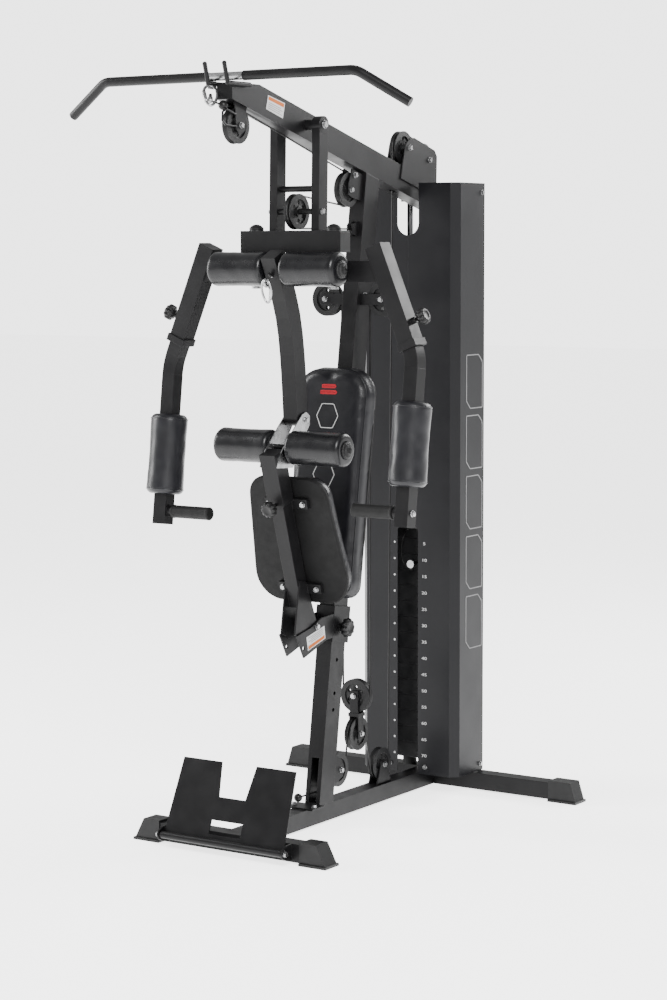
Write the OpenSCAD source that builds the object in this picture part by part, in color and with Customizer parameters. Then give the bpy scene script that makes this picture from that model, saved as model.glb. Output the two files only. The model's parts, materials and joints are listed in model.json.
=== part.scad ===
// Multi station home gym: lat and low pulley cable machine with press and fly arms,
// a fold-up seat with leg developer, and a shrouded weight stack.
// Built lying in a frame where y = 0 is the front stabiliser; placed() centres it.

/* [Frame] */
// Side of the square frame tubes
tube = 50; // [45:1:55]
// Height of the frame tubes above the floor
floor_gap = 6; // [4:1:10]
// Depth of the main upright tube
post_d = 70; // [60:1:75]
// Depth of the top beam tube
beam_d = 75; // [65:1:80]
// Rearward lean of the main upright in degrees
post_lean = 8; // [7.5:0.1:8.5]
// Fall of the top beam towards the rear in degrees
beam_fall = 15.2; // [15:0.1:15.5]
// Width of the rear stabiliser without its feet
rear_w = 880; // [820:10:940]
// Width of the front stabiliser without its feet
front_w = 470; // [450:10:490]

/* [Pulleys] */
// Outer radius of a cable pulley
pulley_r = 49; // [46:1:50]
// Thickness of a cable pulley
pulley_t = 20; // [18:1:22]
// Radius of the steel cable
cable_r = 2.6; // [2:0.1:3]

/* [Pads] */
// Radius of a foam roller
roller_r = 48; // [40:1:48]
// Length of one foam roller
roller_l = 180; // [150:5:182]
// Radius of an arm pad
arm_pad_r = 54; // [45:1:55]
// Length of an arm pad
arm_pad_l = 228; // [200:2:235]
// Width of the backrest
back_w = 272; // [240:2:280]
// Thickness of the backrest padding
back_t = 55; // [40:1:58]

/* [Weight stack] */
// Number of plates below the pin
low_plates = 12; // [8:1:12]
// Distance from one plate to the next
plate_pitch = 48; // [46:1:48]
// Width of a plate
plate_w = 270; // [220:2:280]
// Depth of a plate
plate_d = 118; // [100:2:120]

/* [Tower] */
// Width of the tower shroud
tower_w = 336; // [330:2:340]
// Height of the top of the shroud
tower_top = 1824; // [1800:2:1840]
// Sheet thickness of the shroud
sheet = 2; // [1.5:0.1:2.5]

/* [Hidden] */
$fn = 48;

mid_y = 502.5;                       // middle of the machine, from front to rear
wall = 3;                            // wall of the frame tubes
frame_top = floor_gap + tube;        // top of the base tubes
rear_y = 1030;                       // axis of the rear stabiliser
run_gap = 0.4;                       // gap between parts that move on each other

// main upright: its front face passes this point and leans back by post_lean
post_y = 380;
post_len = 1800;
post_tan = tan(post_lean);
function post_front(z) = post_y + (z - frame_top) * post_tan;
function post_mid(z) = post_front(z) + post_d / 2 / cos(post_lean);

// top beam: its underside passes this line and falls to the rear by beam_fall
beam_front = -19;
beam_rear = 1058;
beam_tan = tan(beam_fall);
beam_low0 = 2019;
function beam_low(y) = beam_low0 - y * beam_tan;
beam_cut = 2068;                     // height of the level cut on the beam's nose

// centres of the pulleys as [y, z]
front_p = [31, 1958];
upright_p = [564, 1798];
press_p = [315, 1734];
top_p1 = [858, 1925];
top_p2 = [970, 1893];
fly_p_x = 95;
fly_p = [614, 1488];
float_p1 = [614, 337];
float_p2 = [612, 225];
low_p = [505, 137];
base_p = [738, 112];
groove_r = pulley_r - 6;             // bottom of the groove
cable_arc = groove_r + cable_r + 0.5;
axle_r = 5;

// moving joints
press_axis = [328, 1970];
fly_axis_x = 129;
fly_axis_y = 305;
seat_hinge = [360, 575];
leg_hinge = [313, 1160];
plate_hinge = [-60, 34];
seat_roll = [243, 1088];
leg_roll = [218, 1577];
roll_in = 29.4;                        // inner end of each foam roller from the middle

// weight stack
stack_y = 1020;
plate_h = plate_pitch - 1;
stack_low = 90;
stack_top = stack_low + low_plates * plate_pitch;
lifted = 2;
rod_x = 69;
rod_r = 9;
stem_r = 10;
head_top = stack_top + (lifted + 1) * plate_pitch - 16;

// fly arms: the sleeve leans out by sleeve_out and the handle tubes slide in it
sleeve_out = 22.4;
sleeve_top = [277, 293, 1640];
sleeve_len = 296;
arm_reach = [0, 42];                 // how far the left and the right tube is pushed in
inner = 42;

// ---------- shared shapes ----------

module placed() {
  translate([0, -mid_y, 0]) children();
}

// square tube along +y from the origin, open at both ends
module tube_y(w, h, len, t = wall) {
  difference() {
    translate([-w / 2, 0, -h / 2]) cube([w, len, h]);
    translate([-w / 2 + t, -1, -h / 2 + t]) cube([w - 2 * t, len + 2, h - 2 * t]);
  }
}

// bar of section w by h from a to b, both [y, z] at x
module bar_yz(a, b, w, h, x = 0) {
  d = b - a;
  translate([x, a[0], a[1]]) rotate([atan2(d[1], d[0]), 0, 0])
    translate([-w / 2, 0, -h / 2]) cube([w, norm(d), h]);
}

// pin along x, centred on x
module pin_x(y, z, r, len, x = 0) {
  translate([x - len / 2, y, z]) rotate([0, 90, 0]) cylinder(r = r, h = len);
}

// hexagon bolt head with a round flange, its seat at the origin, facing +x
module bolt_head(r = 8) {
  rotate([0, 90, 0]) {
    cylinder(r = r * 1.15, h = 2);
    translate([0, 0, 2]) cylinder(r = r, h = 5.5, $fn = 6);
  }
}

// one bolt head on each side of the middle plane
module bolt_pair(x, y, z, r = 8) {
  for (s = [-1, 1]) scale([s, 1, 1]) translate([x, y, z]) bolt_head(r);
}

// plate of thickness t at x, its outline in [y, z]
module plate_x(points, t, x) {
  translate([x - t / 2, 0, 0])
    multmatrix([[0, 0, 1, 0], [1, 0, 0, 0], [0, 1, 0, 0], [0, 0, 0, 1]])
      linear_extrude(height = t) polygon(points);
}

// grooved pulley about the x axis with slots between its spokes
module pulley() {
  h = pulley_t / 2;
  rotate([0, 90, 0]) difference() {
    rotate_extrude($fn = 64) polygon([
      [axle_r + run_gap, -h], [15, -h], [15, -6], [34, -6], [34, -h], [pulley_r, -h],
      [pulley_r, -h + 2], [groove_r, -3], [groove_r, 3], [pulley_r, h - 2],
      [pulley_r, h], [34, h], [34, 6], [15, 6], [15, h], [axle_r + run_gap, h]]);
    for (a = [0:60:300]) rotate([0, 0, a]) translate([25, 0, -h]) cylinder(r = 5.5, h = 2 * h);
  }
}

module pulley_x(p) {
  placed() color("#18181a") translate([0, p[0], p[1]]) pulley();
}

module pulley_y(x, p) {
  placed() color("#18181a") translate([x, p[0], p[1]]) rotate([0, 0, 90]) pulley();
}

// ---------- cables ----------

function unit(v) = v / norm(v);
function arc_yz(c, r, a0, a1, n) =
  [for (i = [0:n]) let (a = a0 + (a1 - a0) * i / n) [0, c[0] + r * cos(a), c[1] + r * sin(a)]];
function arc_xz(x, c, r, a0, a1, n) =
  [for (i = [0:n]) let (a = a0 + (a1 - a0) * i / n) [x + r * cos(a), c[0], c[1] + r * sin(a)]];
// angle of the line from a to b, both [y, z]
function heading(a, b) = atan2(b[1] - a[1], b[0] - a[0]);

// round tube swept along points; side is a direction that the route never takes
module cable(points, r, side, sides = 8) {
  last = len(points) - 1;
  rings = [for (i = [0:last])
    let (t = unit(unit(points[min(i + 1, last)] - points[i == last ? last - 1 : i])
                  + unit(points[i == 0 ? 1 : i] - points[max(i - 1, 0)])),
         u = unit(side - (side * t) * t), v = cross(t, u))
    for (k = [0:sides - 1]) points[i] + r * (cos(360 * k / sides) * u + sin(360 * k / sides) * v)];
  walls = [for (i = [0:last - 1], k = [0:sides - 1])
    let (a = i * sides, b = (i + 1) * sides, n = (k + 1) % sides) [a + k, b + k, b + n, a + n]];
  caps = [[for (k = [0:sides - 1]) k], [for (k = [sides - 1:-1:0]) last * sides + k]];
  polyhedron(rings, concat(walls, caps), convexity = 10);
}

// headings of the crossing line from a pulley rounded leftwards to one rounded
// rightwards, and the other way about
function cross_up(a, b) = heading(a, b) + asin(2 * cable_arc / norm(b - a));
function cross_down(a, b) = heading(a, b) - asin(2 * cable_arc / norm(b - a));

// from the low pull, under the low pulley, over the floating block, under the base
// pulley and up over both top pulleys
tie_low = [322, low_p[1] - cable_arc];
module main_cable() {
  up = cross_up(low_p, float_p2);
  down = cross_down(float_p2, base_p);
  rise = cross_up(base_p, top_p1);
  fall = heading(top_p1, top_p2);
  route = concat(
    [[0, tie_low[0], tie_low[1]]],
    arc_yz(low_p, cable_arc, -90, up - 90, 8),
    arc_yz(float_p2, cable_arc, up + 90, down + 90, 9),
    arc_yz(base_p, cable_arc, down - 90, rise - 90, 14),
    arc_yz(top_p1, cable_arc, rise + 90, fall + 90, 6),
    arc_yz(top_p2, cable_arc, fall + 90, 0, 6));
  placed() color("#101010") {
    cable(route, cable_r, [1, 0, 0]);
    translate([0, tie_low[0] - 12, tie_low[1]]) sphere(r = 12);
  }
}

module stack_cable() {
  top = [0, top_p2[0] + cable_arc, top_p2[1] - 0.2];
  placed() color("#101010") cable([top, [0, stack_y, head_top + 34.3]], cable_r, [1, 0, 0]);
}

// from the lat bar over the front and upright pulleys, round the press pulley and back
// to its anchor on the main upright
ball_at = [-25, 2008];
anchor_y = 588;
module upper_cable() {
  start = heading(ball_at, front_p) + asin(cable_arc / norm(front_p - ball_at));
  under = heading(front_p, upright_p);
  back = cross_down(upright_p, press_p) + 360;
  route = concat(
    [[-24, ball_at[0] - 24, ball_at[1] + 12], [0, ball_at[0], ball_at[1]]],
    arc_yz(front_p, cable_arc, start + 90, under + 90, 3),
    arc_yz(upright_p, cable_arc, under + 90, back - 270, 12),
    arc_yz(press_p, cable_arc, back - 90, 270, 12),
    [[0, anchor_y, press_p[1] - cable_arc]]);
  placed() color("#101010") {
    cable(route, cable_r, [1, 0, 0]);
    translate([0, ball_at[0], ball_at[1]]) sphere(r = 13);
  }
}

// from arm to arm over both fly pulleys and under the floating block
eye = [196, 352, 1562];
module fly_cable() {
  // it climbs out of the groove before it turns towards the arm
  leave = [for (q = [[104, 54.5, 14], [101, 54.3, 8.5], [97, 49.2, 3.5]])
    [-fly_p_x + q[1] * cos(q[0]), fly_p[0] - q[2], fly_p[1] + q[1] * sin(q[0])]];
  left = concat([[-eye[0], eye[1], eye[2]]], leave, arc_xz(-fly_p_x, fly_p, cable_arc, 92, 0, 9));
  bottom = arc_xz(0, float_p1, cable_arc, 180, 360, 12);
  right = [for (i = [len(left) - 1:-1:0]) [-left[i][0], left[i][1], left[i][2]]];
  placed() color("#101010") cable(concat(left, bottom, right), cable_r, [0, 1, 0]);
}

// ---------- base and uprights ----------

module front_stabiliser() {
  placed() color("#242427") {
    translate([-250, 0, floor_gap + tube / 2]) rotate([0, 0, -90])
      tube_y(tube, tube, 500);
    for (s = [-1, 1])
      difference() {
        plate_x([[-25, 12], [-50, 14], [-68, 22], [-74, 34], [-68, 46], [-50, 54], [-25, 56]],
                5, s * 206);
        pin_x(plate_hinge[0], plate_hinge[1], 6.06, 30, s * 206);
      }
  }
}

module rear_stabiliser() {
  placed() color("#242427")
    translate([-rear_w / 2, rear_y, floor_gap + tube / 2]) rotate([0, 0, -90])
      tube_y(tube, tube, rear_w);
}

module base_tube() {
  placed() color("#242427") {
    translate([0, tube / 2, floor_gap + tube / 2]) tube_y(tube, tube, rear_y - tube);
    translate([-45, post_y - 65, frame_top]) cube([90, 60, 5]);
  }
}

// shoe over a stabiliser's end, from x0 to x1 in the +x direction
module shoe(x0, x1, slope, y) {
  difference() {
    translate([0, y, 0]) union() {
      translate([x0, -33, 0]) cube([x1 - x0, 66, 7]);
      translate([0, 28, 0]) rotate([90, 0, 0]) linear_extrude(height = 56)
        polygon([[x0, 5], [x1 - 3, 5], [x1 - slope, 62], [x0, 62]]);
    }
    translate([x0 - 1, y - tube / 2, floor_gap]) cube([17, tube, tube]);
  }
}

module stabiliser_feet() {
  placed() color("#1c1c1e") for (s = [-1, 1]) scale([s, 1, 1]) {
    shoe(234, 321, 33, 0);
    shoe(rear_w / 2 - 16, 518, 21, rear_y);
  }
}

post_holes = [464, 369, 322];
module main_upright() {
  placed() color("#242427") difference() {
    translate([0, post_y, frame_top]) rotate([-post_lean, 0, 0]) difference() {
      translate([-tube / 2, 0, -20]) cube([tube, post_d, post_len + 60]);
      translate([-tube / 2 + wall, wall, -21])
        cube([tube - 2 * wall, post_d - 2 * wall, post_len + 70]);
    }
    translate([-100, 200, -100]) cube([200, 400, frame_top + 100]);
    translate([0, 0, beam_low0]) rotate([-beam_fall, 0, 0])
      translate([-100, 200, 0]) cube([200, 900, 300]);
    for (z = post_holes) pin_x(post_mid(z), z, 5.5, 80);
    translate([-12, 300, 62]) cube([24, 220, 128]);
  }
}

module top_beam() {
  placed() color("#242427") difference() {
    translate([0, 0, beam_low0]) rotate([-beam_fall, 0, 0])
      translate([-tube / 2, -60, 0]) cube([tube, 1240, beam_d]);
    translate([0, 0, beam_low0]) rotate([-beam_fall, 0, 0])
      translate([-tube / 2 + wall, 90, wall])
        cube([tube - 2 * wall, 1200, beam_d - 2 * wall]);
    translate([-50, beam_front - 200, 1500]) cube([100, 200, 900]);
    translate([-50, beam_rear, 1500]) cube([100, 300, 600]);
    translate([-50, beam_front - 50, beam_cut]) cube([100, 200, 100]);
    pin_x(press_axis[0], press_axis[1], 8, 80);
    // slots where the cable comes up to the top pulleys and goes down to the stack
    for (y = [top_p1[0] - cable_arc, top_p2[0] + cable_arc])
      translate([-8, y - 14, 1700]) cube([16, 28, 260]);
  }
}

module frame_bolts() {
  placed() color("#c8cacc") {
    // axles of the fixed pulleys
    for (p = [front_p, upright_p, low_p, base_p]) {
      pin_x(p[0], p[1], axle_r, 32);
      bolt_pair(16.2, p[0], p[1], 7);
    }
    for (p = [top_p1, top_p2]) {
      pin_x(p[0], p[1], axle_r, 58);
      bolt_pair(28.9, p[0], p[1], 7);
    }
    for (s = [-1, 1]) translate([s * fly_p_x, fly_p[0] - 17, fly_p[1]]) {
      rotate([-90, 0, 0]) cylinder(r = axle_r, h = 34);
      rotate([0, 0, -90]) bolt_head(7);
    }
    // pivot of the press arm
    pin_x(press_axis[0], press_axis[1], 8, 166);
    bolt_pair(83.4, press_axis[0], press_axis[1], 10);
    // hinge rod of the footplate
    pin_x(plate_hinge[0], plate_hinge[1], 6, 418);
    bolt_pair(209, plate_hinge[0], plate_hinge[1], 8);
    // second bolts of the brackets on the main upright
    bolt_pair(16.2, 584, 1840, 7);
    bolt_pair(25, 618, 1488 + 12, 7);
    for (x = [-34, 34]) translate([x, post_y - 40, frame_top + 5]) rotate([0, -90, 0]) bolt_head(7);
    // screws of the tower shroud
    for (s = [-1, 1]) scale([s, 1, 1]) {
      translate([62, 896, 80]) rotate([0, 0, -90]) bolt_head(6);
      for (z = [78, 1796]) translate([tower_w / 2, 1040, z]) bolt_head(6);
    }
  }
}

hook_z = 2064.6;
hook_r = 6;
hook_len = 52;
hook_lean = 16;
module bar_hooks() {
  placed() color("#1c1c1e") for (s = [-1, 1]) translate([s * 31.6, -48, hook_z]) {
    rotate([-90, 0, 0]) cylinder(r = hook_r, h = 100);
    sphere(r = hook_r + 0.4);
    rotate([hook_lean, 0, 0]) {
      cylinder(r = hook_r, h = hook_len);
      translate([0, 0, hook_len]) sphere(r = hook_r + 0.4);
    }
  }
}

// two ears beside a pulley, from one outline, bored for its axle
module ears(points, p, x = 14, t = 4) {
  for (s = [-1, 1]) difference() {
    plate_x(points, t, s * x);
    pin_x(p[0], p[1], axle_r + 0.1, 3 * t, s * x);
  }
}

module pulley_forks() {
  placed() color("#202023") {
    ears([[6, beam_low(6)], [58, beam_low(58)], [52, 1945], [40, 1938], [22, 1938], [12, 1946]],
         front_p);
    cable([[14, 12, 1985], [14, -30, 1998], [14, -47, 1990], [14, -49, 1968], [14, -34, 1957],
           [14, -8, 1955], [14, 16, 1955]], 3, [1, 0, 0], 8);
    ears([[post_front(1840), 1840], [572, 1858], [552, 1815], [550, 1785], [570, 1776],
          [post_front(1768), 1768]], upright_p);
    ears([[post_front(1710), 1710], [anchor_y - 6, 1700], [anchor_y - 6, 1676],
          [post_front(1668), 1668]], [0, 0], 8, 5);
    translate([-12, anchor_y, 1672]) cube([24, 8, 32]);
    // carrier of the two fly pulleys, in front of and behind them
    for (y = [fly_p[0] - 17, fly_p[0] + 13]) translate([0, y, 0]) difference() {
      translate([-fly_p_x - 18, 0, fly_p[1] - 16]) cube([2 * fly_p_x + 36, 4, 32]);
      translate([-tube / 2, -1, fly_p[1] - 50]) cube([tube, 6, 100]);
      for (s = [-1, 1]) translate([s * fly_p_x, -1, fly_p[1]]) rotate([-90, 0, 0])
        cylinder(r = axle_r + 0.1, h = 6);
    }
  }
}

module rear_pulley_bracket() {
  line = [[812, 1835], [1010, 1782], [1014, 1905], [1000, 1922], [886, 1955], [862, 1952],
          [838, 1935], [822, 1880]];
  placed() color("#202023") {
    difference() {
      ears(line, top_p1, 27, 3.6);
      pin_x(top_p2[0], top_p2[1], axle_r + 0.1, 100);
    }
    // spacers that hold the two plates apart, clear of both pulleys
    for (p = [[914, 1909], [1000, 1845]]) pin_x(p[0], p[1], 5, 52);
  }
}

module low_pulley_brackets() {
  placed() color("#202023") {
    ears([[post_front(100) + post_d + 2, 92], [516, 118], [524, 136], [520, 152],
          [post_front(190) + post_d + 2, 196]], low_p);
    ears([[700, frame_top], [776, frame_top], [752, 122], [724, 122]], base_p);
  }
}

// ---------- tower and weight stack ----------

module guide_rods() {
  placed() color("#9a9ca0") {
    for (s = [-1, 1]) translate([s * rod_x, stack_y, 0]) {
      translate([0, 0, frame_top]) cylinder(r = rod_r, h = 1740);
      translate([s > 0 ? -rod_x + tube / 2 : -20, -20, frame_top + 1716])
        difference() {
          cube([rod_x - tube / 2 + 20, 40, 6]);
          translate([s > 0 ? rod_x - tube / 2 : 20, 20, -1]) cylinder(r = rod_r, h = 8);
        }
    }
  }
}

module stack_bumpers() {
  placed() color("#151515") for (s = [-1, 1]) translate([s * rod_x, stack_y, frame_top])
    difference() {
      cylinder(r = 21, h = stack_low - frame_top);
      translate([0, 0, -1]) cylinder(r = rod_r + 0.2, h = 60);
    }
}

module stack_plate(h, hole) {
  difference() {
    linear_extrude(height = h) difference() {
      polygon([for (sx = [-1, 1], k = [0:3]) let (
          x = plate_w / 2, y = plate_d / 2, c = 8,
          q = [[x - c, -y], [x, -y + c], [x, y - c], [x - c, y]][k])
          [sx < 0 ? -q[0] : q[0], sx < 0 ? -q[1] : q[1]]]);
      for (s = [-1, 1]) translate([s * rod_x, 0]) circle(r = rod_r + 1);
      circle(r = stem_r + 1.2);
    }
    if (hole) translate([0, -plate_d / 2 - 1, h / 2]) rotate([-90, 0, 0])
      cylinder(r = 6, h = plate_d / 2);
  }
}

module fixed_plates() {
  placed() color("#202022") for (i = [0:low_plates - 1])
    translate([0, stack_y, stack_low + i * plate_pitch]) stack_plate(plate_h, true);
}

module lifted_plates() {
  placed() color("#202022") for (i = [0:lifted])
    translate([0, stack_y, stack_top + i * plate_pitch])
      stack_plate(i == lifted ? plate_pitch - 18 : plate_h, i < lifted);
}

pin_z = stack_top + plate_h / 2;
module stack_stem() {
  placed() color("#b9bbbe") translate([0, stack_y, 0]) difference() {
    union() {
      translate([0, 0, stack_low - 12]) cylinder(r = stem_r, h = head_top - stack_low + 24);
      translate([0, 0, head_top]) cylinder(r = 16, h = 12);
      translate([0, 0, head_top + 12]) cylinder(r = 8, h = 22);
    }
    for (i = [0:low_plates + lifted - 1])
      translate([0, -20, stack_low + plate_h / 2 + i * plate_pitch]) rotate([-90, 0, 0])
        cylinder(r = 6, h = 40);
  }
}

module selector_pin() {
  placed() color("#c8cacc") translate([0, 0, pin_z]) rotate([-90, 0, 0]) {
    translate([0, 0, 932]) cylinder(r = 5, h = 96);
    translate([0, 0, 914]) cylinder(r = 9, h = 20);
    translate([0, 0, 910]) cylinder(r = 12, h = 5);
  }
}

cord_route = [[-38, 958, 786], [-39, 950, 784], [-41, 941, 772], [-43, 934, 756],
  [-44, 930, 736], [-42, 927, 716], [-37, 925, 698], [-30, 924, 686], [-21, 924, 678],
  [-12, 924, 673.5], [-6, 924, 672.6], [-1.5, 924, 675], [0, 924, 679.6]];
module pin_cord() {
  placed() color("#101010") cable(cord_route, 2.5, [0, 1, 0.1], 8);
}

module shroud(s) {
  w = tower_w / 2;
  c = 22.5;
  y0 = 896;
  y1 = 1057;
  slot_top = 812;
  placed() color("#26262a") scale([s, 1, 1]) difference() {
    translate([0, 0, 58]) linear_extrude(height = tower_top - 58) difference() {
      polygon([[0.2, y0], [w - c, y0], [w, y0 + c], [w, y1], [w - 16, y1], [w - 16, y1 - sheet],
               [w - sheet, y1 - sheet], [w - sheet, y0 + c + 1], [w - c - 1, y0 + sheet],
               [0.2, y0 + sheet]]);
    }
    translate([0, y0 + 10, 0]) rotate([90, 0, 0]) linear_extrude(height = 20)
      polygon([[-5, 50], [36, 50], [36, slot_top - 16], [20, slot_top], [-5, slot_top]]);
    translate([0, y0 + 10, 1708]) rotate([90, 0, 0]) cylinder(r = 37, h = 20);
    translate([-5, y0 - 10, 1708]) cube([42, 20, 200]);
  }
}

module shroud_left() { shroud(-1); }
module shroud_right() { shroud(1); }

// ---------- backrest ----------

back_lean = 6.84;
back_low = 626;
back_high = 1317;
function back_front(z) = 462 + (z - 1120) * tan(back_lean);
module backrest_pad() {
  l = (back_high - back_low) / cos(back_lean);
  placed() color("#1b1b20")
    translate([0, back_front(back_low), back_low]) rotate([-back_lean, 0, 0])
      translate([0, back_t, 0]) rotate([90, 0, 0]) linear_extrude(height = back_t) hull() {
        for (s = [-1, 1]) {
          translate([s * (back_w / 2 - 92), l - 92]) circle(r = 92, $fn = 32);
          translate([s * (back_w / 2 - 62), 62]) circle(r = 50, $fn = 32);
        }
      }
}

module backrest_mounts() {
  t = back_t / cos(back_lean);
  placed() color("#202023") for (z = [760, 1190])
    plate_x([[back_front(z - 30) + t + 0.1, z - 30], [post_front(z - 30), z - 30],
             [post_front(z + 30), z + 30], [back_front(z + 30) + t + 0.1, z + 30]], 46, 0);
}

// ---------- press arm and fly arms ----------

box_low = 1622;
box_high = 1682;
module press_arm() {
  placed() color("#242427") difference() {
    union() {
      for (s = [-1, 1]) {
        bar_yz([321, box_high - 4], press_axis, 25, 42, s * 70);
        pin_x(press_axis[0], press_axis[1], 23, 26, s * 70);
        pin_x(press_axis[0], press_axis[1], 14, 32, s * 41.6);
      }
      pin_x(325, 1796, 8.5, 116);
      translate([-164, 277, box_low]) difference() {
        cube([328, 56, box_high - box_low]);
        translate([-1, wall, wall]) cube([330, 56 - 2 * wall, box_high - box_low - 2 * wall]);
      }
    }
    pin_x(press_axis[0], press_axis[1], 8.06, 200);
    pin_x(press_p[0], press_p[1], axle_r, 200);
    for (s = [-1, 1]) translate([s * fly_axis_x, fly_axis_y, box_low - 5]) cylinder(r = 8, h = 80);
  }
}

module press_bolts() {
  placed() color("#c8cacc") {
    pin_x(press_p[0], press_p[1], axle_r, 166);
    bolt_pair(83.2, press_p[0], press_p[1], 7);
    for (s = [-1, 1]) pin_x(press_p[0], press_p[1], 8, 46, s * 34);
    for (s = [-1, 1]) translate([s * fly_axis_x, fly_axis_y, 0]) {
      translate([0, 0, 1528]) cylinder(r = 8, h = box_high - 1528 + 4);
      translate([0, 0, 1522]) cylinder(r = 14, h = 6);
      translate([0, 0, box_high]) intersection() {
        cylinder(r = 20, h = 20);
        translate([0, 0, -6]) sphere(r = 24);
      }
    }
  }
}

// pull knob, its stem along +x from the origin
knob_r = 23;
module knob() {
  rotate([0, 90, 0]) {
    cylinder(r = 4.6, h = 30);
    translate([0, 0, 24]) cylinder(r1 = knob_r * 0.6, r2 = knob_r, h = 12);
    translate([0, 0, 36]) cylinder(r = knob_r, h = 12);
    translate([0, 0, 48]) cylinder(r1 = knob_r, r2 = knob_r * 0.8, h = 4);
  }
}

module fly_frame(s) {
  placed() scale([s, 1, 1]) children();
}

sleeve_out_w = 50;
knob_drop = 228;
module fly_arm(s) {
  fly_frame(s) color("#242427") difference() {
    union() {
      translate([fly_axis_x, fly_axis_y, 1538]) cylinder(r = 24, h = 80);
      translate([fly_axis_x, 271, 1542]) cube([160, tube, 58]);
      translate(sleeve_top) rotate([0, -sleeve_out, 0]) {
        translate([-sleeve_out_w / 2, -sleeve_out_w / 2, -sleeve_len])
          cube([sleeve_out_w, sleeve_out_w, sleeve_len]);
        translate([-29, -29, -sleeve_len]) cube([58, 58, 20]);
        translate([20, 0, -knob_drop]) rotate([0, 90, 0]) cylinder(r = 9, h = 20);
      }
      translate([eye[0] - 4, 300, eye[2] - 12]) cube([8, 48, 24]);
    }
    translate(sleeve_top) rotate([0, -sleeve_out, 0]) {
      translate([-22, -22, -sleeve_len - 1]) cube([44, 44, sleeve_len - 9]);
      translate([15, 0, -knob_drop]) rotate([0, 90, 0]) cylinder(r = 4.9, h = 40);
    }
    translate([fly_axis_x, fly_axis_y, 1500]) cylinder(r = 8.06, h = 150);
  }
}

module fly_arm_left() { fly_arm(-1); }
module fly_arm_right() { fly_arm(1); }

// handle tube: straight in the sleeve, an arc, then straight down and a little forwards
tube_in = 194;
tube_bend = 362;                     // from the sleeve's top to the corner that the arc cuts off
tube_drop = 458;
tube_arc_r = 150;
tube_arc = 23.47;
tube_lap = 2;                        // the arc runs on into the straight tubes by this angle
tube_turn = 18.34;                   // plane of the arc, about the sleeve's own line
tube_cut = tube_arc_r * tan(tube_arc / 2);
grip_up = 38;
grip_end = 164;
pad_from = [144, 121];
module at_bend(s, reach) {
  fly_frame(s) translate(sleeve_top) rotate([0, -sleeve_out, 0])
    translate([0, 0, reach - tube_bend]) children();
}

module below_bend(s, reach) {
  at_bend(s, reach) rotate([0, 0, tube_turn]) rotate([0, tube_arc, 0])
    rotate([0, 0, -tube_turn]) children();
}

module handle_tube(s, reach) {
  at_bend(s, reach) color("#242427") {
    translate([-inner / 2, -inner / 2, tube_cut]) cube([inner, inner, tube_in]);
    rotate([0, 0, tube_turn]) translate([-tube_arc_r, 0, tube_cut]) rotate([-90, 0, 0])
      rotate([0, 0, -tube_lap]) rotate_extrude(angle = tube_arc + 2 * tube_lap)
        translate([tube_arc_r, 0]) rotate(-tube_turn) square(inner - 0.4, center = true);
  }
  below_bend(s, reach) color("#242427") {
    difference() {
      translate([-inner / 2, -inner / 2, -tube_drop]) cube([inner, inner, tube_drop - tube_cut]);
      translate([-inner / 2 + wall, -inner / 2 + wall, -tube_drop - 1])
        cube([inner - 2 * wall, inner - 2 * wall, tube_drop - tube_cut - 8]);
    }
    translate([-grip_end, 0, grip_up - tube_drop]) rotate([0, 90, 0])
      cylinder(r = 16, h = grip_end - inner / 2);
    translate([inner / 2, 0, grip_up - tube_drop]) bolt_head(7);
  }
}

module handle_tube_left() { handle_tube(-1, arm_reach[0]); }
module handle_tube_right() { handle_tube(1, arm_reach[1]); }

module arm_pad(s, reach, from) {
  below_bend(s, reach) color("#1a1a1c") difference() {
    translate([0, 0, -from - arm_pad_l]) cylinder(r = arm_pad_r, h = arm_pad_l);
    translate([-inner / 2, -inner / 2, -from - arm_pad_l - 1])
      cube([inner, inner, arm_pad_l + 2]);
  }
}

module arm_pad_left() { arm_pad(-1, arm_reach[0], pad_from[0]); }
module arm_pad_right() { arm_pad(1, arm_reach[1], pad_from[1]); }

module arm_knob(s) {
  fly_frame(s) color("#1a1a1c") translate(sleeve_top) rotate([0, -sleeve_out, 0])
    translate([22.4, 0, -knob_drop]) knob();
}

module arm_knob_left() { arm_knob(-1); }
module arm_knob_right() { arm_knob(1); }

// ---------- seat and leg developer ----------

carrier_z = 570;
module seat_carrier() {
  placed() color("#242427") {
    translate([0, post_front(carrier_z), carrier_z]) rotate([-post_lean, 0, 0]) difference() {
      union() {
        translate([-31, -6, -52]) cube([62, 82, 104]);
        translate([30, 35, -8]) rotate([0, 90, 0]) cylinder(r = 12, h = 16);
      }
      translate([-26, -1, -60]) cube([52, 72, 120]);
      translate([20, 35, -8]) rotate([0, 90, 0]) cylinder(r = 4.9, h = 40);
    }
    for (s = [-1, 1]) difference() {
      plate_x([[262, 560], [330, 574], [387, 596], [448, 600], [442, 532], [410, 530],
               [298, 494]], 4.6, s * 28.4);
      pin_x(296, 522, 5.5, 20, s * 28.4);
    }
    pin_x(seat_hinge[0], seat_hinge[1], 6, 62.4);
    bolt_pair(31, seat_hinge[0], seat_hinge[1], 7);
  }
}

module carrier_knob() {
  placed() color("#1a1a1c")
    translate([0, post_front(carrier_z), carrier_z]) rotate([-post_lean, 0, 0])
      translate([26.5, 35, -8]) rotate([0, 90, 0]) {
        cylinder(r = 4.6, h = 30);
        translate([0, 0, 22]) cylinder(r = 11, h = 6);
        translate([0, 0, 26]) cylinder(r = 28, h = 10);
      }
}

seat_lean = 15.3;
seat_at = [273, 915];
// places on the seat board's plane where the two cross bars hold it
module on_board() {
  for (d = [19.7, -233.3])
    translate([0, seat_at[0], seat_at[1]]) rotate([seat_lean, 0, 0]) translate([0, 0, d]) children();
}

strut_w = 41;
strut_top = [206, 1022];
strut_low = [322, 640];
board_bar_t = 12;
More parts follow.
